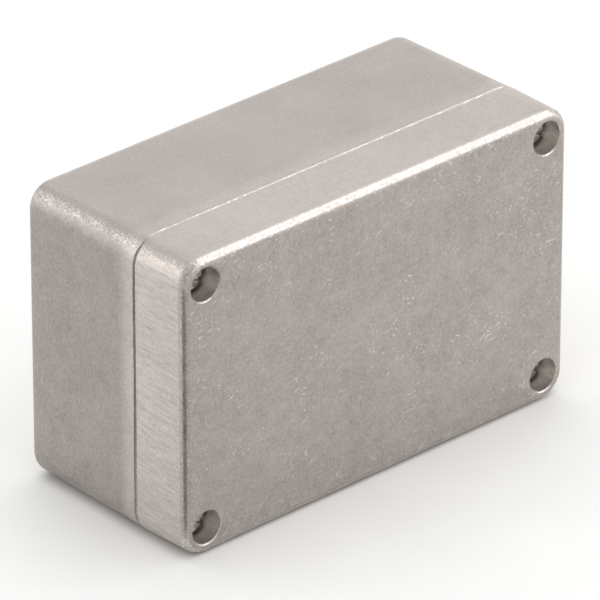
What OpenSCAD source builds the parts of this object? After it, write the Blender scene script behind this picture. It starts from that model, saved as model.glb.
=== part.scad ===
// Die cast aluminium enclosure with a screwed lid, standing on its long side.
//
// Frame: X along the length, Y through the depth, Z up. The lid faces -Y and the back, which
// goes against a wall or panel, faces +Y. The origin is the middle of the footprint.
// Each piece is first drawn lying down, with its back at z = 0 and its lid face up, as it
// leaves the mould and is put together. standing() then turns it to the frame above.
// All sizes are in millimetres.

/* [Box] */
// Length of the closed box
box_length = 125; // [112:1:180]
// Height of the box as it stands
box_height = 80; // [74:1:130]
// Depth of the closed box, back to lid face
box_depth = 57; // [50:1:100]
// Depth of the lid casting, parting line to lid face
lid_depth = 17; // [16:0.5:20]
// Radius of the corners between the four sides, at the parting line
corner_r = 7.1; // [6.5:0.1:8]
// Width of the land all round the cavity, where the castings meet
rim_w = 4; // [3.8:0.1:4.6]

/* [Lid casting] */
// Draft of the lid's outer sides, in degrees
lid_draft = 1.06; // [0.5:0.02:1.5]
// Radius between the lid's sides and its face
lid_edge_r = 2.3; // [1.5:0.1:3]
// Thickness of the lid's face
lid_face_t = 3.2; // [2.5:0.1:4]
// How far the lid stands proud of the base at the parting line
lid_proud = 0.15; // [0.05:0.01:0.4]
// Chamfer round the mouth of each counterbore
mouth_chamfer = 0.3; // [0.1:0.05:0.5]

/* [Base casting] */
// Draft of the base's outer sides, in degrees
base_draft = 0.7; // [0.4:0.02:1]
// Radius between the base's sides and its back
back_edge_r = 3; // [1.5:0.1:3.5]
// Thickness of the base's back wall
back_t = 3.2; // [2.8:0.1:4.5]

/* [Cavity] */
// Draft of the cavity's walls, in degrees
cavity_draft = 0.5; // [0.3:0.05:1]
// Radius in the upright corners of the cavity
cavity_corner_r = 2.2; // [1.5:0.1:3]
// Radius between the cavity's walls and its floor
cavity_floor_r = 1.8; // [1:0.1:2.5]
// Radius on the inner corner of each corner block
block_corner_r = 5; // [4.5:0.1:6]
// Chamfer on the outer edges where the castings meet
parting_chamfer = 0.35; // [0.1:0.05:0.45]

/* [Seal] */
// Width of the gasket groove in the lid
groove_w = 2; // [1.8:0.1:2.2]
// Depth of the gasket groove in the lid
groove_d = 3; // [2.4:0.1:3.6]
// Width of the tongue on the base
tongue_w = 1.1; // [0.8:0.1:1.4]
// Height of the tongue on the base
tongue_h = 1.2; // [0.8:0.1:1.6]
// Clearance of the gasket to each side of its groove
gasket_gap = 0.05; // [0.02:0.01:0.1]

/* [Lid screws] */
// Distance of each lid screw from the two sides of the box
screw_inset = 7.3; // [7:0.1:7.6]
// Nominal diameter of the machine screws
screw_d = 4; // [3.5:0.1:4.2]
// Pitch of their thread
screw_pitch = 0.7; // [0.5:0.05:0.8]
// Length of a lid screw under its head
lid_screw_len = 20; // [19:0.5:22]
// Diameter of the cheese head
head_d = 7; // [6.6:0.1:7.4]
// Height of the lid screws' cheese heads
lid_head_h = 3.8; // [3.4:0.1:4.2]
// Width of the screwdriver slot
slot_w = 1.2; // [0.8:0.1:1.4]
// Depth of the screwdriver slot
slot_d = 1.1; // [0.8:0.1:1.4]
// Angle of the lid screws' slots at rest, in degrees
slot_angle = -27; // [-90:1:90]
// Diameter of the counterbores in the lid
counterbore_d = 8.8; // [8.2:0.1:9]
// How far the screw heads lie under the lid's face
head_sink = 5; // [4.6:0.1:5.6]
// Diameter of the clearance holes in the lid
clearance_d = 4.5; // [4.4:0.1:5]
// Running clearance of a thread in its tapped hole, on the radius
thread_gap = 0.05; // [0.03:0.01:0.08]
// Turns that free a lid screw from the base
lid_screw_turns = 7.5; // [6:0.5:8]

/* [Retaining rings] */
// Outer diameter of the ring that keeps each lid screw captive
ring_d = 5.6; // [5.2:0.1:5.8]
// Thickness of the retaining ring
ring_t = 1; // [0.8:0.1:1.2]
// Clearance round the ring in its recess, and above and below its travel
ring_gap = 0.15; // [0.1:0.05:0.2]

/* [Wall fixing] */
// Distance of the wall fixing holes from the ends of the box
fixing_inset_x = 6; // [5.8:0.1:8]
// Distance of the wall fixing holes from the top and underside of the box
fixing_inset_z = 15; // [15:0.5:18]
// Diameter of the wall fixing holes
fixing_d = 4.8; // [4.3:0.1:5.2]
// Diameter of the wells that take the wall screws' heads
fixing_well_d = 7.5; // [7:0.1:7.6]
// Thickness of metal under the wall screws' heads
fixing_seat_t = 5; // [4:0.5:8]

/* [Inner bosses] */
// Distance of the mounting plate bosses from the ends of the box
plate_boss_inset_x = 22.5; // [22:0.5:26]
// Distance of the mounting plate bosses from the top and underside of the box
plate_boss_inset_z = 16; // [14:0.5:20]
// Diameter of the mounting plate bosses
plate_boss_d = 8; // [7:0.5:10]
// Height of the bosses above the cavity's floor
boss_h = 6; // [5:0.5:8]
// Metal left under the blind tapped holes of the bosses
boss_skin_t = 2.2; // [1.8:0.1:2.6]

/* [Earth terminal] */
// Distance of the earth boss from the left end of the box
earth_inset_x = 40; // [37:0.5:45]
// Diameter of the earth boss
earth_boss_d = 9; // [8:0.5:9.5]
// Height of the earth screw's cheese head
earth_head_h = 2.6; // [2.2:0.1:3]
// Length of the earth screw under its head
earth_screw_len = 8; // [7:0.5:8.5]
// Turns that loosen the earth screw for a wire
earth_screw_turns = 4; // [2:0.5:5]
// Outer diameter of the plain washer
washer_d = 9; // [8:0.1:9.4]
// Thickness of the plain washer
washer_t = 0.8; // [0.6:0.1:1]
// Outer diameter of the spring washer
spring_washer_d = 7.2; // [6.6:0.1:7.6]
// Thickness of the spring washer
spring_washer_t = 0.9; // [0.7:0.1:1.1]
// Opening of the split in the spring washer, in degrees
spring_split = 12; // [6:1:20]
// Clearance of the washers and the clamp round the screw, on the radius
washer_gap = 0.15; // [0.1:0.01:0.3]
// Thickness of the clamp's sheet
clamp_t = 1; // [0.8:0.1:1.2]
// Width of the clamp across its open sides
clamp_w = 8; // [7:0.5:9]
// How far the clamp's two lips reach down beside the boss
clamp_lip = 2.4; // [2:0.1:3]
// Clearance between the clamp's lips and the boss
clamp_gap = 0.4; // [0.3:0.1:0.6]

/* [Hidden] */
$fn = 64;

// Past this a cutting solid reaches beyond the face that it cuts
over = 1;

// Levels, measured from the back
parting_z = box_depth - lid_depth;
seat_z = box_depth - head_sink - lid_head_h;
lid_screw_tip_z = seat_z - lid_screw_len;
lid_screw_travel = lid_screw_turns * screw_pitch;
ring_recess_d = lid_screw_travel + ring_t + 2 * ring_gap;
ring_z = parting_z - ring_recess_d + ring_gap;
tapped_spare = 2;
boss_z = back_t + boss_h;
clamp_z = boss_z + washer_t;
spring_washer_z = clamp_z + clamp_t;
earth_seat_z = spring_washer_z + spring_washer_t;

// Outlines at the parting line, as half sizes
lid_half = [box_length / 2, box_height / 2];
base_half = [lid_half.x - lid_proud, lid_half.y - lid_proud];
cavity_half = [base_half.x - rim_w, base_half.y - rim_w];

// Places, from the middle of the box
screw_at = [lid_half.x - screw_inset, lid_half.y - screw_inset];
fixing_at = [lid_half.x - fixing_inset_x, lid_half.y - fixing_inset_z];
plate_boss_at = [lid_half.x - plate_boss_inset_x, lid_half.y - plate_boss_inset_z];
earth_at = [earth_inset_x - lid_half.x, -plate_boss_at.y];

// The corner blocks reach in past the fixing wells by the width of the land
block_at = [for (i = [0, 1]) fixing_at[i] - fixing_well_d / 2 - rim_w];

thread_hole_r = screw_d / 2 + thread_gap;
tip_chamfer = 0.6;
head_chamfer = 0.35;

// Turns a piece from lying on its back to standing on its long side
module standing() {
    translate([0, box_depth / 2, box_height / 2]) rotate([90, 0, 0]) children();
}

// Copies its children to the four corners at a distance of p from the middle
module at_corners(p) {
    for (sx = [-1, 1], sy = [-1, 1]) translate([sx * p.x, sy * p.y, 0]) children();
}

// Section through a drafted wall. x runs out from the axis of the corner, and y up from the
// wall's widest end, which has a chamfer, to its narrow end, which has a true radius.
module wall_section(corner, height, draft, edge_r, chamfer) {
    centre = [corner - edge_r / cos(draft) - (height - edge_r) * tan(draft), height - edge_r];
    tangent = [centre.x + edge_r * cos(draft), centre.y + edge_r * sin(draft)];
    polygon([
        [0, 0], [corner - chamfer, 0], [corner - chamfer * tan(draft), chamfer],
        tangent, centre, [centre.x, height], [0, height]
    ]);
    intersection() {
        translate(centre) circle(edge_r);
        polygon([centre, tangent, [corner - height * tan(draft), height], [centre.x, height]]);
    }
}

// Block with rounded corners and drafted sides, widest at z = 0, where its half sizes are
// half, with a radius round its top
module drafted_block(half, height, corner, draft, edge_r, chamfer) {
    straight = [half.x - corner, half.y - corner];
    translate([-straight.x, -straight.y, 0]) cube([2 * straight.x, 2 * straight.y, height]);
    for (side = [0:3]) {
        out = straight[side % 2];
        along = straight[(side + 1) % 2];
        rotate([0, 0, 90 * side]) translate([out, along, 0]) {
            rotate([90, 0, 0]) linear_extrude(2 * along)
                wall_section(corner, height, draft, edge_r, chamfer);
            rotate_extrude(angle = 90)
                wall_section(corner, height, draft, edge_r, chamfer);
        }
    }
}

// Rectangle with round corners, from its half sizes
module round_rectangle(half, r) {
    square([2 * half.x, 2 * (half.y - r)], center = true);
    square([2 * (half.x - r), 2 * half.y], center = true);
    at_corners([half.x - r, half.y - r]) circle(r);
}

// Outline of the cavity at the parting line, moved out into the land by grow. It is a
// rectangle whose corners step in round the corner blocks.
module cavity_outline(grow) {
    inner_r = block_corner_r - grow;
    round_rectangle([block_at.x + grow, cavity_half.y + grow], cavity_corner_r + grow);
    round_rectangle([cavity_half.x + grow, block_at.y + grow], cavity_corner_r + grow);
    for (sx = [-1, 1], sy = [-1, 1]) scale([sx, sy]) difference() {
        translate(block_at) square(block_corner_r);
        translate([block_at.x + block_corner_r, block_at.y + block_corner_r]) circle(inner_r);
    }
}

// Hollow of a casting, cut down from its mouth at z = 0
module cavity(depth) {
    grow = over * tan(cavity_draft);
    intersection() {
        translate([0, 0, -depth - over]) linear_extrude(depth + 2 * over) cavity_outline(0);
        translate([0, 0, over]) mirror([0, 0, 1])
            drafted_block(
                [cavity_half.x + grow, cavity_half.y + grow], depth + over,
                cavity_corner_r + grow, cavity_draft, cavity_floor_r, 0
            );
    }
}

// Band of the given width that follows the middle of the land round the cavity
module seal_band(width, height) {
    linear_extrude(height) difference() {
        cavity_outline((rim_w + width) / 2);
        cavity_outline((rim_w - width) / 2);
    }
}

// Round boss on the cavity's floor, with a blind tapped hole
module boss(d) {
    translate([0, 0, back_t - over]) cylinder(d = d, h = boss_h + over);
}

module boss_hole() {
    translate([0, 0, boss_skin_t]) cylinder(r = thread_hole_r, h = boss_z - boss_skin_t + over);
}

// Base: outer block less its cavity, with bosses, corner blocks, wells and the seal's tongue
module base_casting() {
    color([0.70, 0.69, 0.68]) standing() {
        difference() {
            translate([0, 0, parting_z]) mirror([0, 0, 1])
                drafted_block(base_half, parting_z, corner_r - lid_proud, base_draft,
                    back_edge_r, parting_chamfer);
            difference() {
                translate([0, 0, parting_z]) cavity(parting_z - back_t);
                at_corners(plate_boss_at) boss(plate_boss_d);
                translate(earth_at) boss(earth_boss_d);
            }
            at_corners(plate_boss_at) boss_hole();
            translate(earth_at) boss_hole();
            at_corners(fixing_at) {
                translate([0, 0, -over]) cylinder(d = fixing_d, h = fixing_seat_t + 2 * over);
                translate([0, 0, fixing_seat_t]) cylinder(d = fixing_well_d, h = parting_z);
            }
            at_corners(screw_at) {
                translate([0, 0, parting_z - ring_recess_d])
                    cylinder(d = ring_d + 2 * ring_gap, h = ring_recess_d + over);
                translate([0, 0, lid_screw_tip_z - tapped_spare])
                    cylinder(r = thread_hole_r, h = parting_z - lid_screw_tip_z);
            }
        }
        translate([0, 0, parting_z]) seal_band(tongue_w, tongue_h);
    }
}

// Lid: outer block less its cavity, the gasket groove and the stepped holes for its screws
module lid_casting() {
    color([0.72, 0.71, 0.70]) standing() translate([0, 0, parting_z]) difference() {
        drafted_block(lid_half, lid_depth, corner_r, lid_draft, lid_edge_r, parting_chamfer);
        mirror([0, 0, 1]) cavity(lid_depth - lid_face_t);
        translate([0, 0, -over]) seal_band(groove_w, groove_d + over);
        at_corners(screw_at) {
            translate([0, 0, -over]) cylinder(d = clearance_d, h = lid_depth);
            translate([0, 0, seat_z - parting_z]) cylinder(d = counterbore_d, h = lid_depth);
            translate([0, 0, lid_depth - mouth_chamfer])
                cylinder(
                    d1 = counterbore_d, d2 = counterbore_d + 2 * (mouth_chamfer + over),
                    h = mouth_chamfer + over
                );
        }
    }
}

// Gasket: a band that fills the groove above the tongue
module gasket() {
    color([0.12, 0.12, 0.12]) standing() translate([0, 0, parting_z + tongue_h])
        seal_band(groove_w - 2 * gasket_gap, groove_d - tongue_h);
}

// Slotted cheese head screw with its seat at z = 0 and its head up
module machine_screw(length, head_h, angle) {
    difference() {
        rotate_extrude() polygon([
            [0, -length], [screw_d / 2 - tip_chamfer, -length],
            [screw_d / 2, tip_chamfer - length], [screw_d / 2, 0], [head_d / 2, 0],
            [head_d / 2, head_h - head_chamfer], [head_d / 2 - head_chamfer, head_h],
            [0, head_h]
        ]);
        rotate([0, 0, angle]) translate([-head_d, -slot_w / 2, head_h - slot_d])
            cube([2 * head_d, slot_w, slot_d + over]);
    }
}

module lid_screw(sx, sy) {
    color([0.80, 0.80, 0.78]) standing()
        translate([sx * screw_at.x, sy * screw_at.y, seat_z])
        machine_screw(lid_screw_len, lid_head_h, slot_angle);
}

// Flat ring with a plain round hole
module flat_ring(outer_r, inner_r, thickness) {
    rotate_extrude() translate([inner_r, 0]) square([outer_r - inner_r, thickness]);
}

// Ring that grips a lid screw's shank, so that the screw stays with the lifted lid
module retaining_ring(sx, sy) {
    color([0.88, 0.86, 0.80]) standing()
        translate([sx * screw_at.x, sy * screw_at.y, ring_z])
        flat_ring(ring_d / 2, thread_hole_r, ring_t);
}

module earth_washer() {
    color([0.80, 0.72, 0.42]) standing() translate([earth_at.x, earth_at.y, boss_z])
        flat_ring(washer_d / 2, screw_d / 2 + washer_gap, washer_t);
}

// Clamp: a square plate with two lips bent down beside the boss
module earth_clamp() {
    inner = max(earth_boss_d, washer_d) / 2 + clamp_gap;
    color([0.78, 0.70, 0.40]) standing() translate([earth_at.x, earth_at.y, clamp_z])
        difference() {
            union() {
                translate([-inner - clamp_t, -clamp_w / 2, 0])
                    cube([2 * (inner + clamp_t), clamp_w, clamp_t]);
                for (sx = [-1, 1])
                    translate([sx * (inner + clamp_t / 2) - clamp_t / 2, -clamp_w / 2, -clamp_lip])
                        cube([clamp_t, clamp_w, clamp_lip + clamp_t]);
            }
            translate([0, 0, -over])
                cylinder(r = screw_d / 2 + washer_gap, h = clamp_t + 2 * over);
        }
}

module earth_spring_washer() {
    inner_r = screw_d / 2 + washer_gap;
    color([0.75, 0.75, 0.76]) standing() translate([earth_at.x, earth_at.y, spring_washer_z])
        rotate_extrude(angle = 360 - spring_split) translate([inner_r, 0])
        square([spring_washer_d / 2 - inner_r, spring_washer_t]);
}

module earth_screw() {
    color([0.80, 0.72, 0.42]) standing() translate([earth_at.x, earth_at.y, earth_seat_z])
        machine_screw(earth_screw_len, earth_head_h, 0);
}

base_casting();
lid_casting();
gasket();
lid_screw(-1, 1);  // lid_screw_upper_left
lid_screw(1, 1);  // lid_screw_upper_right
lid_screw(-1, -1);  // lid_screw_lower_left
lid_screw(1, -1);  // lid_screw_lower_right
retaining_ring(-1, 1);  // retaining_ring_upper_left
retaining_ring(1, 1);  // retaining_ring_upper_right
retaining_ring(-1, -1);  // retaining_ring_lower_left
retaining_ring(1, -1);  // retaining_ring_lower_right
earth_washer();
earth_clamp();
earth_spring_washer();
earth_screw();
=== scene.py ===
# %% [markdown]
# # A die cast aluminium box, dressed
#
# The box is two castings, a base and a screwed lid, standing on one long side with the lid
# towards us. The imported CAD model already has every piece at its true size, so this lesson
# only gives those pieces their finishes, adds the one thing that is too fine for the CAD
# source, which is the screws' threads, and then builds a plain studio.
#
# The frame is the CAD's own: X along the box, Y through its depth with the lid at the front,
# Z up, in metres, with the origin under the middle of the box.

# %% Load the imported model
import math

import bmesh
import bpy
import numpy as np
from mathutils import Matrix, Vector


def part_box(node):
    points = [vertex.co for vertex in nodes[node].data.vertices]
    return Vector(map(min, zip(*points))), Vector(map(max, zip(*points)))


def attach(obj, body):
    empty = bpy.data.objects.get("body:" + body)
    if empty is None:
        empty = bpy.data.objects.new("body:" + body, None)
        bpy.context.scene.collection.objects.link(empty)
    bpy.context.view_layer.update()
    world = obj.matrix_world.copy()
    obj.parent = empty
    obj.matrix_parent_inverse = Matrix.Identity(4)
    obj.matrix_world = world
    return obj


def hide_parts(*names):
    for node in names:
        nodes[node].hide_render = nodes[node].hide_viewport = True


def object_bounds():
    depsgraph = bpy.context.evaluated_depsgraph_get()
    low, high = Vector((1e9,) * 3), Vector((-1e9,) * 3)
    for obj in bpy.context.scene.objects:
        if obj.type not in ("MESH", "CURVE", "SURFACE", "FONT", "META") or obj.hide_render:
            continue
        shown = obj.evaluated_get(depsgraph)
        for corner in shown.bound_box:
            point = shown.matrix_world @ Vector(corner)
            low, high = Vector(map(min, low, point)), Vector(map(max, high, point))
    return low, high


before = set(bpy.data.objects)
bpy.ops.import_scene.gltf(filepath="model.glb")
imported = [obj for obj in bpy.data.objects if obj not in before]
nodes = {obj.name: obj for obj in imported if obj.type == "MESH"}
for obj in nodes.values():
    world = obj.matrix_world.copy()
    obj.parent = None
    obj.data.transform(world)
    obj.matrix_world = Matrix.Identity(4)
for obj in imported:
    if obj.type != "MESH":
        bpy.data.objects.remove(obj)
cad_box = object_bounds()
MM = 0.001
print("nodes:", ", ".join(sorted(nodes)))
print("CAD box in mm:", [[round(c / MM, 2) for c in corner] for corner in cad_box])

# %% [markdown]
# ## Where the surfaces lie
#
# A finish often has to know where it is: the sanded sides belong to the lid only, and the
# linished band on the base follows the line where the castings meet. Those places could be
# typed in, but then they would be wrong as soon as the CAD changed. So they are read from
# the boxes of the nodes. Only two small sizes that no box tells are typed.

# %% Measure the castings
BORE_RADIUS = 4.4 * MM  # of the counterbores that hold the lid screws' heads
CHAMFER = 0.35 * MM  # on the base's edge at the parting line

box_low, box_high = (np.array(corner) for corner in cad_box)
lid_low, lid_high = (np.array(corner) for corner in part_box("lid_casting"))
screw_low, screw_high = (np.array(corner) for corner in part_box("lid_screw_upper_left"))
middle = (box_low + box_high) / 2
middle_z = float(middle[2])
parting_y = float(lid_high[1])
lid_face_y = float(lid_low[1])
screw_x = float((screw_low[0] + screw_high[0]) / 2)
screw_z = float((screw_low[2] + screw_high[2]) / 2)
print("parting plane at Y", round(parting_y / MM, 2), "mm")
print("lid face at Y", round(lid_face_y / MM, 2), "mm")

# %% [markdown]
# ## Short words for shader nodes
#
# Every finish here is a node tree. Written out in full, each node takes four or five lines,
# which hides the idea behind the typing. The class below gives the handful of steps that
# all the finishes share a short name each. A size is always given in millimetres, because
# that is how a surface is measured: grain of 0.8 mm, clouds of 22 mm.


# %% A finish and its nodes
class Finish:
    """A material whose patterns are built from the object's own coordinates."""

    SPOT_CORE = 0.6  # a spot is at full strength within this share of its radius
    FAINTEST = 0.15  # the strength of the faintest spots

    def __init__(self, name):
        self.material = bpy.data.materials.new(name)
        self.material.use_nodes = True
        self.tree = self.material.node_tree
        self.shader = self.tree.nodes["Principled BSDF"]
        coordinates = self.node("ShaderNodeTexCoord")
        self.place = coordinates.outputs["Object"]
        self.facing = coordinates.outputs["Normal"]

    def node(self, kind, **settings):
        """A new node with its settings."""
        made = self.tree.nodes.new(kind)
        for setting, value in settings.items():
            setattr(made, setting, value)
        return made

    def feed(self, socket, value):
        """Links another node's output to a socket, or writes a constant on it."""
        if isinstance(value, bpy.types.NodeSocket):
            self.tree.links.new(value, socket)
        else:
            socket.default_value = value

    def maths(self, operation, first, second=0.0):
        """first (operation) second, as one Math node."""
        made = self.node("ShaderNodeMath", operation=operation)
        self.feed(made.inputs[0], first)
        self.feed(made.inputs[1], second)
        return made.outputs[0]

    def away(self, value, centre=0.0):
        """How far a value is from a centre, on either side."""
        return self.maths("ABSOLUTE", self.maths("SUBTRACT", value, centre) if centre else value)

    def all_of(self, *masks):
        """The product of several masks."""
        result = masks[0]
        for mask in masks[1:]:
            result = self.maths("MULTIPLY", result, mask)
        return result

    def fade(self, value, start, end, low=0.0, high=1.0):
        """Goes smoothly from low to high as the value goes from start to end."""
        made = self.node("ShaderNodeMapRange", interpolation_type="SMOOTHSTEP")
        for socket, number in zip(made.inputs, (value, start, end, low, high)):
            self.feed(socket, number)
        return made.outputs["Result"]

    def axes(self, vector):
        """The three parts of a vector."""
        made = self.node("ShaderNodeSeparateXYZ")
        self.feed(made.inputs[0], vector)
        return made.outputs

    def faces(self, axis, start, end, low=0.0, high=1.0):
        """Goes from low to high as the surface turns to face along an axis, either way."""
        return self.fade(self.away(self.axes(self.facing)[axis]), start, end, low, high)

    def turned(self, turn_deg=(0, 0, 0), stretch=(1, 1, 1), shift=(0, 0, 0), place=None):
        """The place on the piece, turned, then stretched: 20 makes a pattern 20 times longer."""
        made = self.node("ShaderNodeMapping", vector_type="TEXTURE")
        self.feed(made.inputs["Vector"], place or self.place)
        made.inputs["Location"].default_value = [s * MM for s in shift]
        made.inputs["Rotation"].default_value = [math.radians(t) for t in turn_deg]
        made.inputs["Scale"].default_value = stretch
        return made.outputs["Vector"]

    def cloud(self, size_mm, detail, roughness, place):
        """The noise node behind the next two patterns."""
        made = self.node("ShaderNodeTexNoise")
        self.feed(made.inputs["Vector"], place)
        made.inputs["Scale"].default_value = 1 / (size_mm * MM)
        made.inputs["Detail"].default_value = detail
        made.inputs["Roughness"].default_value = roughness
        return made

    def noise(self, size_mm, detail=2.0, roughness=0.5, place=None):
        """Cloudy noise whose blotches are about size_mm across, from 0 to 1."""
        return self.cloud(size_mm, detail, roughness, place or self.place).outputs["Fac"]

    def frayed(self, size_mm, push_mm):
        """The place pushed about by cloudy noise, which gives round spots a ragged outline."""
        push = self.node("ShaderNodeVectorMath", operation="MULTIPLY_ADD")
        self.feed(push.inputs[0], self.cloud(size_mm, 3.0, 0.5, self.place).outputs["Color"])
        push.inputs[1].default_value = [2 * push_mm * MM] * 3
        self.feed(push.inputs[2], self.place)
        return push.outputs["Vector"]

    def spots(self, spacing_mm, radius_mm, share, place):
        """Round spots about spacing_mm apart, kept in a share of the cells only. Each spot has
        a strength of its own, from faint to full."""
        made = self.node("ShaderNodeTexVoronoi")
        self.feed(made.inputs["Vector"], place)
        made.inputs["Scale"].default_value = 1 / (spacing_mm * MM)
        rim = radius_mm / spacing_mm
        near = self.fade(made.outputs["Distance"], rim, rim * self.SPOT_CORE)
        draw, strength, _ = self.axes(made.outputs["Color"])
        chosen = self.fade(draw, 1 - share, 1 - share + 0.05)
        return self.all_of(near, chosen, self.fade(strength, 0.25, 1.0, self.FAINTEST, 1.0))

    def distance(self):
        """How far the place is from the origin, in metres."""
        made = self.node("ShaderNodeVectorMath", operation="LENGTH")
        self.feed(made.inputs[0], self.place)
        return made.outputs["Value"]

    def blend(self, amount, first, second):
        """Two colours mixed by an amount."""
        made = self.node("ShaderNodeMix", data_type="RGBA")
        self.feed(made.inputs["Factor"], amount)
        self.feed(made.inputs["A"], first)
        self.feed(made.inputs["B"], second)
        return made.outputs["Result"]

    def tinted(self, colour, tone):
        """A colour made lighter or darker by a tone around 1."""
        made = self.node("ShaderNodeVectorMath", operation="SCALE")
        made.inputs[0].default_value = colour[:3]
        self.feed(made.inputs["Scale"], tone)
        return made.outputs["Vector"]

    def bump(self, height, depth_mm, strength=1.0, under=None):
        """Bump whose full height is depth_mm, laid over another bump."""
        made = self.node("ShaderNodeBump")
        made.inputs["Strength"].default_value = strength
        made.inputs["Distance"].default_value = depth_mm * MM
        self.feed(made.inputs["Height"], height)
        if under:
            self.feed(made.inputs["Normal"], under)
        return made.outputs["Normal"]

    def leaning(self, normal, towards, amount):
        """The normal leaned towards a direction, by 45 degrees where the amount is 1."""
        pull = self.node("ShaderNodeVectorMath", operation="SCALE")
        self.feed(pull.inputs[0], towards)
        self.feed(pull.inputs["Scale"], amount)
        total = self.node("ShaderNodeVectorMath", operation="ADD")
        self.feed(total.inputs[0], normal)
        self.feed(total.inputs[1], pull.outputs["Vector"])
        unit = self.node("ShaderNodeVectorMath", operation="NORMALIZE")
        self.feed(unit.inputs[0], total.outputs["Vector"])
        return unit.outputs["Vector"]


def linear(red, green, blue):
    """A colour picked from a screen, from 0 to 255, as the linear colour that Blender wants."""
    screen = np.array((red, green, blue)) / 255
    light = np.where(screen <= 0.04045, screen / 12.92, ((screen + 0.055) / 1.055) ** 2.4)
    return (*light.tolist(), 1.0)


X, Y, Z = range(3)
print("a screen level of 188 is", round(linear(188, 188, 188)[0], 2), "of the light of white")

# %% [markdown]
# ## The skin of cast aluminium
#
# The castings come out of the mould grey and dull, and are then tumbled with stones to break
# their edges. The skin that is left is a warm grey metal, cloudy on a scale of centimetres
# and mottled on a scale of millimetres, with a fine grain.
#
# A photograph wrapped round the box could show that, but it would have to be stored and
# unwrapped, and it would blur close up. Noise at several sizes, all worked out from the place
# on the piece, gives the same look at any distance and from every side.
#
# An edge is found from the direction that the surface faces: on a flat side one part of the
# normal is close to 1, and on a rounded edge no part is, so 1 minus the largest part is a
# mask of the edges that needs no painting.


# %% Colours, clouds and edges
SKIN = linear(172, 165, 160)
# the pale colour of nicks and worn edges, also used for a painted highlight on the lid's front edges
BRIGHT = linear(238, 231, 224)
MACHINED = linear(202, 197, 193)
# the next colour is painted shade: it darkens the seam beside the parting line on the base's two ends
SEAM_SHADE = linear(92, 84, 78)
CALM = 0.6  # how much of the mottle and grain shows on the sides that face up or down


def cast_skin(finish):
    """The patterns under all the others, as (tone, mottle, grain). The tone is around 1."""
    clouds = finish.noise(22, 2, 0.55)
    mottle = finish.noise(4.0, 5, 0.66)
    grain = finish.noise(0.8, 2, 0.6, finish.turned(shift=(5, 9, 2)))
    calm = finish.faces(Z, 0.5, 0.9, 1.0, CALM)
    tone = finish.maths("ADD", finish.all_of(finish.maths("SUBTRACT", clouds, 0.5), 0.26), 1.0)
    for pattern, amount in ((mottle, 0.60), (grain, 0.55)):
        swing = finish.all_of(finish.maths("SUBTRACT", pattern, 0.5), amount, calm)
        tone = finish.maths("ADD", tone, swing)
    return tone, mottle, grain


def edge_mask(finish, start, end):
    """1 on rounded edges, 0 on flat sides: 1 minus the largest part of the normal."""
    x, y, z = (finish.away(part) for part in finish.axes(finish.facing))
    largest = finish.maths("MAXIMUM", finish.maths("MAXIMUM", x, y), z)
    return finish.fade(finish.maths("SUBTRACT", 1.0, largest), start, end)


print("the skin's colour in linear light is", [round(part, 3) for part in SKIN[:3]])

# %% [markdown]
# ## Nicks and scratches
#
# Castings are tumbled in a heap, so they knock small bright nicks and short scratches into
# each other. The lid's face, which is the widest, has most of them, and they crowd together
# near its rim and in patches.
#
# A nick is a spot from a cell pattern, and a scratch is the same spot with space stretched
# along one direction. Round spots would look printed, so both are drawn at places that are
# pushed about a little by noise first. This tears the nicks' outlines and bends the
# scratches. Most marks are faint and a few are strong, as they are on metal.


# %% Marks of the tumbling
SCRATCH_WIDTH = 0.31
# The turn of each family of scratches in degrees, and its length and spacing in mm.
SCRATCHES = (((0, -26, 0), 2.6, 1.1), ((3, -6, 3), 4.0, 1.3), ((5, 20, 0), 1.8, 1.2))


def near_rim(finish):
    """1 in a strip 3 to 7 mm wide round the lid's face, where tumbling hits hardest."""
    x, _, z = finish.axes(finish.place)
    across = finish.maths("SUBTRACT", float(lid_high[0]), finish.away(x))
    upwards = finish.maths("SUBTRACT", float(lid_high[2] - middle[2]), finish.away(z, middle_z))
    return finish.fade(finish.maths("MINIMUM", across, upwards), 7.0 * MM, 3.0 * MM)


def scratches(finish, turn_deg, length_mm, spacing_mm, place):
    """Short scratches: spots stretched along one turned direction."""
    stretch = (length_mm / SCRATCH_WIDTH, 1, 1)
    along = finish.turned(turn_deg, stretch, (turn_deg[1], 3, 8), place)
    return finish.spots(spacing_mm, SCRATCH_WIDTH / 2, 0.85, along)


def tumbling_marks(finish):
    """1 in the strongest nicks and scratches, 0 between them."""
    crowded = finish.fade(finish.noise(9, 2, 0.5, finish.turned(shift=(2, 40, 11))), 0.42, 0.62)
    crowded = finish.maths("MAXIMUM", crowded, finish.all_of(near_rim(finish), 0.7))
    on_face = finish.faces(Y, 0.8, 0.95, 0.15, 1.0)
    ragged = finish.frayed(0.8, 0.45)
    small = finish.all_of(finish.spots(1.25, 0.31, 0.90, ragged), crowded, on_face)
    large = finish.all_of(finish.spots(3.6, 0.50, 0.45, ragged), on_face)
    marks = finish.maths("MAXIMUM", small, large)
    gently_curved = finish.frayed(5.0, 0.35)
    fewer_between = finish.fade(crowded, 0.0, 1.0, 0.22, 0.95)
    for turn_deg, length, spacing in SCRATCHES:
        lines = scratches(finish, turn_deg, length, spacing, gently_curved)
        marks = finish.maths("MAXIMUM", marks, finish.all_of(lines, fewer_between, on_face))
    return marks


print(len(SCRATCHES), "families of scratches, from", min(s[1] for s in SCRATCHES),
      "to", max(s[1] for s in SCRATCHES), "mm long")
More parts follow.
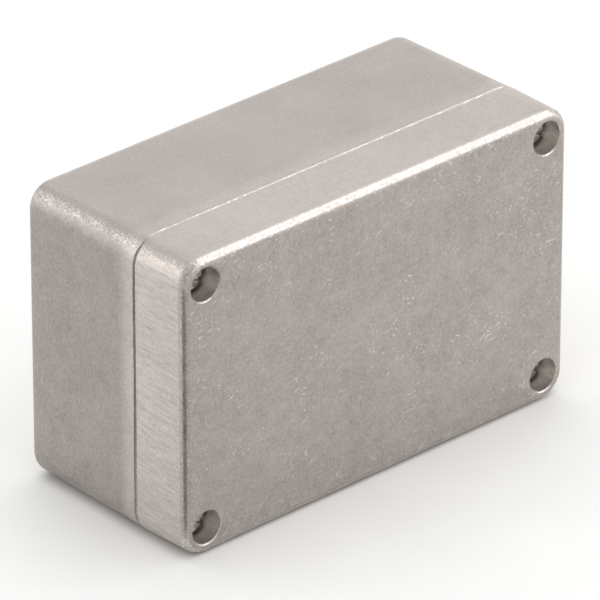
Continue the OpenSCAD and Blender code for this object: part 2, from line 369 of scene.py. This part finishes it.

# %% [markdown]
# ## Where tools have been
#
# Three kinds of tool leave their mark after the casting. A drill cuts the counterbores of the
# lid screws, which are brighter than the skin. A belt sands the lid's narrow sides with long
# strokes, and rubs a band on the base next to the lid, so that both castings are flush. A
# file takes the sharp corner off the base at the parting line, more in some places than in
# others. On the two ends that corner is also painted darker, as painted shade in the seam.
#
# Each mark is a mask of its own, so it can be judged and changed alone. The filed corner is
# only a few tenths of a millimetre wide. It needs no geometry: leaning the normal forwards
# inside a ragged strip makes the light glint there as it would on a real bevel.


# %% Drilled, sanded and filed places
def in_bore(finish):
    """1 inside the four counterbores: closer to a lid screw's axis than the counterbore's
    wall, behind the lid's face and in front of the parting line."""
    x, y, z = finish.axes(finish.place)
    across = finish.maths("SUBTRACT", finish.away(x), abs(screw_x))
    upwards = finish.maths("SUBTRACT", finish.away(z, middle_z), abs(screw_z - middle_z))
    squares = (finish.all_of(part, part) for part in (across, upwards))
    from_axis = finish.maths("SQRT", finish.maths("ADD", *squares))
    near = finish.fade(from_axis, BORE_RADIUS + 0.15 * MM, BORE_RADIUS + 0.05 * MM)
    behind_face = finish.fade(y, lid_face_y + 0.25 * MM, lid_face_y + 0.45 * MM)
    before_parting = finish.fade(y, parting_y - 0.05 * MM, parting_y - 0.25 * MM)
    return finish.all_of(near, behind_face, before_parting)


def sanded_sides(finish, on_side, on_end):
    """The lid's sides, as (lift of the tone, relief): strokes that are strong on the ends."""
    strokes = finish.noise(0.42, 3, 0.7, finish.turned((3.5, 0, 0), (1, 14, 1)))
    depth = finish.fade(on_end, 0.0, 1.0, 0.20, 1.15)
    swing = finish.all_of(finish.maths("SUBTRACT", strokes, 0.5), depth)
    rubbed = finish.fade(on_end, 0.0, 1.0, 0.12, 0.40)
    lift = finish.all_of(finish.maths("ADD", rubbed, swing), on_side)
    return lift, finish.all_of(strokes, on_side, depth)


def linished_band(finish, on_side, on_end):
    """The base's sides, as (lift of the tone, relief): a paler band of ragged width beside
    the parting line, and ends made slightly darker."""
    from_parting = finish.maths("SUBTRACT", finish.axes(finish.place)[Y], parting_y)
    ragged = finish.all_of(finish.noise(9, 2), 3.0 * MM)
    band = finish.fade(finish.maths("ADD", from_parting, ragged), 8.5 * MM, 3.5 * MM)
    rubbed = finish.fade(on_end, 0.0, 1.0, 0.10, 0.34)
    # the base's two ends are made a little darker in colour
    darker_ends = finish.all_of(on_end, -0.06)
    lift = finish.all_of(finish.maths("ADD", finish.all_of(band, rubbed), darker_ends), on_side)
    strokes = finish.noise(0.7, 2, 0.6, finish.turned((3, 0, 0), (1, 14, 1)))
    return lift, finish.all_of(band, on_side, strokes)


def filed_and_shaded_strip(finish):
    """1 in the ragged strip beside the parting line where the base's edge is leaned like a bevel;
    on the two ends painted shade darkens the seam there. It is wider towards the right, the bottom
    and the ends."""
    x, y, z = finish.axes(finish.place)
    top = float(box_high[2])
    rightwards = finish.fade(x, float(box_low[0]), float(box_high[0]), 0.05 * MM, 0.34 * MM)
    downwards = finish.fade(z, 0.55 * top, 0.25 * top, 0.0, 0.24 * MM)
    on_end = finish.faces(X, 0.6, 0.95, 0.0, 0.30 * MM)
    ragged = finish.fade(finish.noise(1.3, 3, 0.7), 0.3, 0.7, -0.12 * MM, 0.12 * MM)
    width = finish.maths("ADD", rightwards, downwards)
    for more in (on_end, ragged, CHAMFER):
        width = finish.maths("ADD", width, more)
    inside = finish.maths("SUBTRACT", width, finish.maths("SUBTRACT", y, parting_y))
    return finish.fade(inside, -0.04 * MM, 0.04 * MM)


print("counterbores are found within", round(BORE_RADIUS / MM, 2), "mm of the screws' axes")

# %% [markdown]
# ## Both castings
#
# Now the patterns come together. The colour starts as the skin, becomes brighter in the
# bores, then on the edges, then in the nicks, in the order in which those marks came to the
# metal. On the edges the pale colour is partly wear and partly a painted highlight. Where it
# is rubbed the metal is also a little smoother, so nicks and edges sparkle as the box turns.
# The relief is a chain of bumps, each laid on the one before it. On the base, painted shade
# darkens the seam at the two ends.
#
# The lid's front edges carry a painted highlight: they are painted pale along their whole
# length, with a grain in it, which widens the shine of the front lamps. The other edges are
# pale only in patches.


# %% The finish of both castings
WEAR_AND_HIGHLIGHT_SHARE, NICK_SHARE, SEAM_SHADE_SHARE = 0.50, 0.80, 0.55  # how far each colour covers the skin
SMOOTHER = 0.12  # what worn metal loses in roughness


def finish_casting(name, is_lid):
    """Cast aluminium, with sanded sides on the lid and a linished band on the base."""
    finish = Finish(name)
    tone, mottle, grain = cast_skin(finish)
    nicks = tumbling_marks(finish)
    edges = edge_mask(finish, 0.09, 0.24)
    on_side = finish.faces(Y, 0.5, 0.15)
    on_end = finish.faces(X, 0.6, 0.95)
    lift, relief = (sanded_sides if is_lid else linished_band)(finish, on_side, on_end)
    tone = finish.maths("ADD", tone, lift)

    speckle = finish.fade(finish.noise(0.6, 2, 0.7, finish.turned(shift=(3, 3, 17))), 0.42, 0.62)
    patches = finish.noise(7, 2, 0.5, finish.turned(shift=(31, 3, 7)))
    worn = finish.all_of(edges, speckle, finish.fade(patches, 0.35, 0.6, 0.35, 1.0))
    if is_lid:
        # painted highlight: the lid's front edges are painted pale along their whole length, with a
        # grain, to widen the shine of the front lamps
        front_edge_highlight = finish.all_of(edge_mask(finish, 0.03, 0.13), finish.faces(Y, 0.1, 0.3))
        grainy = finish.fade(speckle, 0.0, 1.0, 0.35, 1.2)
        worn = finish.maths("MAXIMUM", worn, finish.all_of(front_edge_highlight, grainy))

    colour = finish.blend(in_bore(finish), finish.tinted(SKIN, tone), finish.tinted(MACHINED, tone))
    # the pale edges are partly wear in patches and partly a painted highlight
    colour = finish.blend(finish.all_of(worn, WEAR_AND_HIGHLIGHT_SHARE), colour, BRIGHT)
    colour = finish.blend(finish.all_of(nicks, NICK_SHARE), colour, BRIGHT)
    polish = finish.all_of(finish.maths("MAXIMUM", nicks, worn), SMOOTHER)
    dullness = finish.maths("SUBTRACT", finish.fade(mottle, 0.3, 0.7, 0.44, 0.54), polish)

    skin = None
    for height, depth_mm, strength in (
            (grain, 0.05, 0.5), (mottle, 0.12, 0.5), (relief, 0.05, 0.6), (nicks, -0.04, 0.6),
            (finish.all_of(speckle, edges), 0.05, 0.5)):
        skin = finish.bump(height, depth_mm, strength, skin)
    if not is_lid:
        filed_and_shaded = filed_and_shaded_strip(finish)
        beyond = finish.fade(finish.axes(finish.place)[Y], parting_y + CHAMFER,
                             parting_y + CHAMFER + 0.02 * MM)
        skin = finish.leaning(skin, (0, -1, 0), finish.all_of(filed_and_shaded, beyond, on_side))
        # painted shade: the seam beside the parting line is darkened on the base's two ends
        colour = finish.blend(finish.all_of(filed_and_shaded, on_end, SEAM_SHADE_SHARE), colour, SEAM_SHADE)

    finish.feed(finish.shader.inputs["Base Color"], colour)
    finish.feed(finish.shader.inputs["Roughness"], dullness)
    finish.feed(finish.shader.inputs["Normal"], skin)
    finish.shader.inputs["Metallic"].default_value = 1.0
    return finish.material


base_skin = finish_casting("cast_base_tumbled", is_lid=False)
lid_skin = finish_casting("cast_lid_sanded_sides", is_lid=True)
print("castings' finishes have", len(base_skin.node_tree.nodes), "and",
      len(lid_skin.node_tree.nodes), "nodes")

# %% [markdown]
# ## The small pieces
#
# The screws, washers, rings and the gasket are bought in, so each has a finish of its own:
# turned stainless steel, rolled brass, spring steel, nylon and moulded rubber. They differ in
# colour, in gloss and in how coarse their grain is, so one function with those numbers makes
# them all, and none of them is a single flat colour.


# %% Finishes of the small pieces
def small_finish(name, colour, metallic, roughness, grain_mm, swing=0.12, depth_mm=0.01,
                 stretch=(1, 1, 1)):
    """A plain finish with fine grain in its colour, its gloss and its relief."""
    finish = Finish(name)
    grain = finish.noise(grain_mm, 3, 0.6, finish.turned(stretch=stretch))
    stains = finish.noise(grain_mm * 9, 2, 0.5, finish.turned(shift=(4, 1, 6)))
    tone = finish.maths("ADD", finish.fade(grain, 0.25, 0.75, 1 - swing, 1 + swing),
                        finish.fade(stains, 0.3, 0.7, -swing / 2, swing / 2))
    worn = finish.all_of(edge_mask(finish, 0.05, 0.28), 0.25)
    light = tuple(min(1.0, c * 1.5) for c in colour[:3]) + (1.0,)
    shader = finish.shader
    finish.feed(shader.inputs["Base Color"], finish.blend(worn, finish.tinted(colour, tone), light))
    finish.feed(shader.inputs["Roughness"],
                finish.fade(grain, 0.2, 0.8, roughness - 0.07, roughness + 0.07))
    finish.feed(shader.inputs["Normal"], finish.bump(grain, depth_mm, 0.5))
    shader.inputs["Metallic"].default_value = metallic
    return finish.material


stainless = small_finish("stainless_turned", linear(222, 217, 212), 1.0, 0.42, 0.25, 0.08, 0.006)
brass = small_finish("brass_rolled", linear(214, 178, 104), 1.0, 0.32, 0.3, 0.10, 0.006, (6, 1, 1))
spring_steel = small_finish("spring_steel_oiled", linear(120, 118, 116), 1.0, 0.34, 0.25)
nylon = small_finish("nylon_natural", linear(232, 228, 214), 0.0, 0.45, 0.5, 0.03, 0.01)
rubber = small_finish("gasket_rubber_black", linear(44, 44, 45), 0.0, 0.62, 0.4, 0.18, 0.03)
print("five small finishes, with grain from 0.25 to 0.5 mm")

# %% [markdown]
# ## Dress the pieces
#
# A CAD piece arrives with a plain material in its slot. Replacing what is in the slot keeps
# the mesh as it is.

# %% Put each finish on its pieces
CORNERS = ("upper_left", "upper_right", "lower_left", "lower_right")
WEARS = {
    "base_casting": base_skin, "lid_casting": lid_skin, "gasket": rubber,
    "earth_washer": brass, "earth_clamp": brass, "earth_spring_washer": spring_steel,
    "earth_screw": brass,
}
for corner in CORNERS:
    WEARS["lid_screw_" + corner] = stainless
    WEARS["retaining_ring_" + corner] = nylon
for node, material in WEARS.items():
    for slot in nodes[node].material_slots:
        slot.material = material
print("dressed", len(WEARS), "of", len(nodes), "nodes")

# %% [markdown]
# ## Threads for the screws
#
# The CAD screws have plain shanks, because a helix is far too fine for the frame. Here each
# one gets its real thread. A thread could be made by cutting a groove with a boolean, which
# is slow and fragile on a helix. It is simpler to see the shank as a sheet rolled round its
# axis: at every angle and height the radius is the root of the thread plus a ridge, and the
# ridge climbs one pitch with every turn.

# %% Roll a threaded shank
PITCH = 0.7 * MM
SHANK_RADIUS = 2.0 * MM
THREAD_DEPTH = 0.38 * MM
TIP_CHAMFER = 0.6 * MM
AROUND = 32
ROWS_PER_PITCH = 8
HIDDEN_IN_HEAD = 0.4 * MM


def threaded_shank(centre_x, centre_z, seat, tip, plain):
    """A closed tube round a line along Y. Its radius is the shank's, less the thread's depth
    times (1 - ridge), where the ridge is a clipped triangle wave of y / pitch - angle / turn.
    The groove fades in after the plain length, and the tip is cut to a cone."""
    turns = np.linspace(0, 2 * math.pi, AROUND, endpoint=False)
    y = np.arange(seat - HIDDEN_IN_HEAD, tip, PITCH / ROWS_PER_PITCH)
    angle, along = np.meshgrid(turns, np.append(y, tip))
    wave = np.abs(((along / PITCH - angle / (2 * math.pi)) % 1.0) * 2 - 1)
    ridge = np.clip(wave * 1.6 - 0.3, 0, 1)
    cut = np.clip((along - seat - plain) / PITCH, 0, 1)
    radius = SHANK_RADIUS - THREAD_DEPTH * (1 - ridge) * cut
    radius = np.minimum(radius, SHANK_RADIUS - TIP_CHAMFER + (tip - along))
    rings = np.stack([centre_x + radius * np.sin(angle), along,
                      centre_z + radius * np.cos(angle)], axis=2)
    ends = [[centre_x, along[0, 0], centre_z], [centre_x, tip, centre_z]]
    points = np.concatenate([rings.reshape(-1, 3), ends])

    rows = len(radius)
    row, column = np.meshgrid(np.arange(rows - 1), np.arange(AROUND), indexing="ij")
    here, after = row * AROUND + column, row * AROUND + (column + 1) % AROUND
    quads = np.stack([here, after, after + AROUND, here + AROUND], axis=2).reshape(-1, 4)
    ring = np.arange(AROUND)
    after = (ring + 1) % AROUND
    last_row = (rows - 1) * AROUND
    under_head = np.stack([np.full(AROUND, rows * AROUND), after, ring], axis=1)
    at_tip = np.stack([np.full(AROUND, rows * AROUND + 1), ring + last_row, after + last_row], axis=1)
    return points, quads.tolist() + under_head.tolist() + at_tip.tolist()


print("each turn of the thread has", ROWS_PER_PITCH, "rows of", AROUND, "points")

# %% [markdown]
# ## Join it to the head
#
# The slotted head is kept from the CAD mesh, cut off just under its seat and closed there.
# The head and the new shank are one object, because they are one piece of steel. It takes the
# CAD screw's place, and rides on the same body, so it turns and travels as the screw does.
# The seat is found in the mesh, as the deepest place outside the shank, so that the script
# still fits if the heads are made taller.


# %% Screws with threads
def seat_of(node, centre):
    """The Y of the face that a screw's head sits on."""
    places = np.empty(len(nodes[node].data.vertices) * 3)
    nodes[node].data.vertices.foreach_get("co", places)
    places = places.reshape(-1, 3)
    from_axis = np.hypot(places[:, 0] - centre[0], places[:, 2] - centre[1])
    return float(places[from_axis > 1.2 * SHANK_RADIUS, 1].max())


def threaded_screw(node, body, plain, material):
    """A screw of one mesh: the head of the CAD node, closed under its seat, and a new shank."""
    low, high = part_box(node)
    centre = ((low[0] + high[0]) / 2, (low[2] + high[2]) / 2)
    seat = seat_of(node, centre)
    work = bmesh.new()
    work.from_mesh(nodes[node].data)
    bmesh.ops.remove_doubles(work, verts=work.verts, dist=1e-6)
    cut = bmesh.ops.bisect_plane(
        work, geom=work.verts[:] + work.edges[:] + work.faces[:],
        plane_co=(0, seat + 0.02 * MM, 0), plane_no=(0, 1, 0), clear_outer=True)
    rim = [edge for edge in cut["geom_cut"] if isinstance(edge, bmesh.types.BMEdge)]
    bmesh.ops.contextual_create(work, geom=rim)
    points, faces = threaded_shank(*centre, seat, high[1], plain)
    shank = bpy.data.meshes.new(node + "_shank")
    shank.from_pydata(points.tolist(), [], faces)
    work.from_mesh(shank)
    bmesh.ops.recalc_face_normals(work, faces=work.faces)
    mesh = bpy.data.meshes.new(node + "_threaded")
    work.to_mesh(mesh)
    work.free()
    mesh.materials.append(material)
    mesh.shade_smooth()
    mesh.set_sharp_from_angle(angle=math.radians(35))
    screw = bpy.data.objects.new(node + "_threaded", mesh)
    bpy.context.scene.collection.objects.link(screw)
    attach(screw, body)
    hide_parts(node)
    print(node, "head", round((seat - low[1]) / MM, 2), "mm high, shank",
          round((high[1] - seat) / MM, 2), "mm long,", len(mesh.polygons), "faces")


for corner in CORNERS:
    threaded_screw("lid_screw_" + corner, "screw_" + corner, 7.0 * MM, stainless)
threaded_screw("earth_screw", "earth_screw", 1.0 * MM, brass)

# %% [markdown]
# ## The floor
#
# The box stands on pale paper that curves up into a backdrop far behind it, so that no
# horizon shows. Two flat planes would meet in a visible line, and one bent sheet doesn't.
#
# Near the box the paper is matt and holds the shadow. Farther off, what the camera sees of
# it, straight or mirrored in the metal, fades into plain white, as in a catalogue picture.
# The light that the paper throws back onto the box isn't changed by that.


# %% Paper
def sweep_surface(width, front, depth, curve_r, height, steps):
    """A sheet carried along X whose profile runs back along the floor, round a quarter
    circle and up the wall: y and z are the sums of a straight run, an arc and a rise."""
    arc = np.linspace(0, math.pi / 2, steps)
    y = np.concatenate(([-front], depth + curve_r * np.sin(arc), [depth + curve_r]))
    z = np.concatenate(([0.0], curve_r * (1 - np.cos(arc)), [height]))
    x = np.array([-width / 2, width / 2])
    grid = np.stack([np.repeat(x, len(y)), np.tile(y, 2), np.tile(z, 2)], axis=1)
    start = np.arange(len(y) - 1)
    quads = np.stack([start, start + len(y), start + len(y) + 1, start + 1], axis=1)
    mesh = bpy.data.meshes.new("studio_sweep")
    mesh.from_pydata(grid.tolist(), [], quads.tolist())
    mesh.shade_smooth()
    sheet = bpy.data.objects.new("studio_sweep", mesh)
    bpy.context.scene.collection.objects.link(sheet)
    return sheet


def paper_finish():
    """Matt white paper that turns plain white between 0.45 and 1.1 m from the box."""
    paper = Finish("studio_paper")
    white = paper.fade(paper.noise(40, 2), 0.3, 0.7, 0.90, 0.92)
    paper.feed(paper.shader.inputs["Base Color"], paper.tinted((1.0, 1.0, 0.99), white))
    paper.shader.inputs["Roughness"].default_value = 0.95
    path = paper.node("ShaderNodeLightPath")
    seen = paper.maths("MAXIMUM", path.outputs["Is Camera Ray"], path.outputs["Is Glossy Ray"])
    covered = paper.node("ShaderNodeMixShader")
    far_away = paper.fade(paper.distance(), 0.45, 1.1)
    paper.feed(covered.inputs[0], paper.all_of(far_away, seen))
    paper.feed(covered.inputs[1], paper.shader.outputs[0])
    paper.feed(covered.inputs[2], paper.node("ShaderNodeEmission").outputs[0])
    paper.feed(paper.tree.nodes["Material Output"].inputs["Surface"], covered.outputs[0])
    return paper.material


studio = sweep_surface(width=12.0, front=5.0, depth=4.0, curve_r=2.0, height=6.0, steps=24)
studio.data.materials.append(paper_finish())
print("paper of", [round(side, 1) for side in studio.dimensions], "m")

# %% [markdown]
# ## The lamps
#
# Bare metal mostly shows what is around it, so the lamps are placed by what each face
# mirrors: the top mirrors the lamp high up behind, the lid's face mirrors the floor in front,
# and the rounded edge between them looks straight into the front lamps and shines.
#
# The light on the floor and the light on the metal are kept apart. One lamp overhead is
# hidden from reflections, so it lights the floor only. Most of the others are hidden from
# matt surfaces, so only the metal shows them, and the floor keeps one soft shadow. No lamp
# shows itself to the camera, because some stand between it and the box in other views.


# %% Soft lamps
def soft_lamp(name, direction, distance, width, height, power):
    """A flat lamp that looks at the middle of the box from a direction."""
    lamp = bpy.data.lights.new(name, "AREA")
    lamp.shape = "RECTANGLE"
    lamp.size = width
    lamp.size_y = height
    lamp.energy = power
    holder = bpy.data.objects.new(name, lamp)
    away = Vector(direction).normalized()
    holder.location = Vector(middle) + away * distance
    holder.rotation_euler = away.to_track_quat("Z", "Y").to_euler()
    holder.visible_camera = False
    bpy.context.scene.collection.objects.link(holder)
    return holder


FOR_METAL = (  # name, direction, distance, width and height in metres, watts
    ("front_lamp", (0.56, -0.51, 0.66), 1.6, 1.3, 1.5, 9.5),
    ("strip_lamp", (0.56, -0.72, 0.20), 1.6, 1.4, 0.7, 4.4),
    ("high_front_lamp", (0.59, -0.09, 0.80), 1.6, 1.2, 0.8, 3.0),
    ("left_lamp", (-0.55, 0.65, 0.40), 1.8, 1.2, 1.2, 5),
    ("low_left_lamp", (-0.60, 0.65, 0.13), 1.8, 1.2, 0.4, 2.0),
    ("low_back_lamp", (0.72, 0.65, 0.15), 1.8, 1.6, 0.5, 3.0),
)
soft_lamp("overhead_lamp", (-0.15, -0.15, 1.0), 1.8, 2.4, 2.4, 18).visible_glossy = False
soft_lamp("top_lamp", (0.37, 0.41, 1.0), 1.8, 2.0, 2.0, 9.0)
for settings in FOR_METAL:
    soft_lamp(*settings).visible_diffuse = False
print(2 + len(FOR_METAL), "lamps,", len(FOR_METAL), "of them for the metal only")

# %% [markdown]
# ## A black card and an even sky
#
# Metal in a white room looks flat, so photographers hold up black card, which gives an edge a
# dark line. Here a card lies on the floor at the front left corner, where only reflections
# see it, and the upright edge mirrors it. The sky fills in all the rest evenly. It is a
# little darker as a light than as a background.


# %% Card and sky
def black_card(name, azimuth_deg, near, far, half_angle_deg):
    """A flat card just over the floor, between two distances from the box's front left corner
    and between two directions, that only reflections see."""
    corner = Vector((box_low[0], box_low[1], 2 * MM))
    points = []
    for distance, side in ((near, -1), (near, 1), (far, 1), (far, -1)):
        angle = math.radians(azimuth_deg + side * half_angle_deg)
        points.append(tuple(corner + Vector((math.sin(angle), -math.cos(angle), 0)) * distance))
    mesh = bpy.data.meshes.new(name)
    mesh.from_pydata(points, [], [(0, 1, 2, 3)])
    made = bpy.data.objects.new(name, mesh)
    bpy.context.scene.collection.objects.link(made)
    for seen_by in ("camera", "diffuse", "shadow", "transmission", "volume_scatter"):
        setattr(made, "visible_" + seen_by, False)
    return made


card = black_card("black_card", -42, 0.008, 0.28, 32)
felt = Finish("black_felt")
nap = felt.fade(felt.noise(3), 0.3, 0.7, 0.8, 1.2)
felt.feed(felt.shader.inputs["Base Color"], felt.tinted((0.03, 0.03, 0.03), nap))
felt.shader.inputs["Roughness"].default_value = 1.0
card.data.materials.append(felt.material)

world = bpy.data.worlds.new("even_sky")
world.use_nodes = True
sky = world.node_tree.nodes["Background"]
sky.inputs["Color"].default_value = (1.0, 1.0, 1.0, 1.0)
path = world.node_tree.nodes.new("ShaderNodeLightPath")
level = world.node_tree.nodes.new("ShaderNodeMapRange")
level.inputs["To Min"].default_value = 0.64
level.inputs["To Max"].default_value = 1.0
world.node_tree.links.new(path.outputs["Is Camera Ray"], level.inputs["Value"])
world.node_tree.links.new(level.outputs["Result"], sky.inputs["Strength"])
bpy.context.scene.world = world
bpy.context.scene.view_settings.view_transform = "Standard"
print("the sky lights the box at", round(level.inputs["To Min"].default_value, 2))

# %% [markdown]
# ## The camera
#
# A long lens from far away keeps the box's edges almost parallel, as a catalogue picture
# does. The camera looks down at the box from its front left.

# %% Place the camera
AZIMUTH = math.radians(-42.27)
ELEVATION = math.radians(28.53)
DISTANCE = 1.918
FRAMES_OF_FOCUS = 13.24
ACROSS = 0.34 * MM
UPWARDS = -2.58 * MM

level_back = Vector((math.sin(AZIMUTH), -math.cos(AZIMUTH), 0)) * math.cos(ELEVATION)
back = level_back + Vector((0, 0, math.sin(ELEVATION)))
look = bpy.data.cameras.new("camera")
look.sensor_width = 36.0
look.lens = FRAMES_OF_FOCUS * look.sensor_width
look.clip_start = 0.1
look.clip_end = 50.0
camera = bpy.data.objects.new("camera", look)
turn = back.to_track_quat("Z", "Y").to_matrix()
camera.location = Vector(middle) + back * DISTANCE + turn @ Vector((ACROSS, UPWARDS, 0))
camera.rotation_euler = turn.to_euler()
bpy.context.scene.collection.objects.link(camera)
bpy.context.scene.camera = camera
print("camera at", [round(c, 3) for c in camera.location], "with a lens of", round(look.lens), "mm")
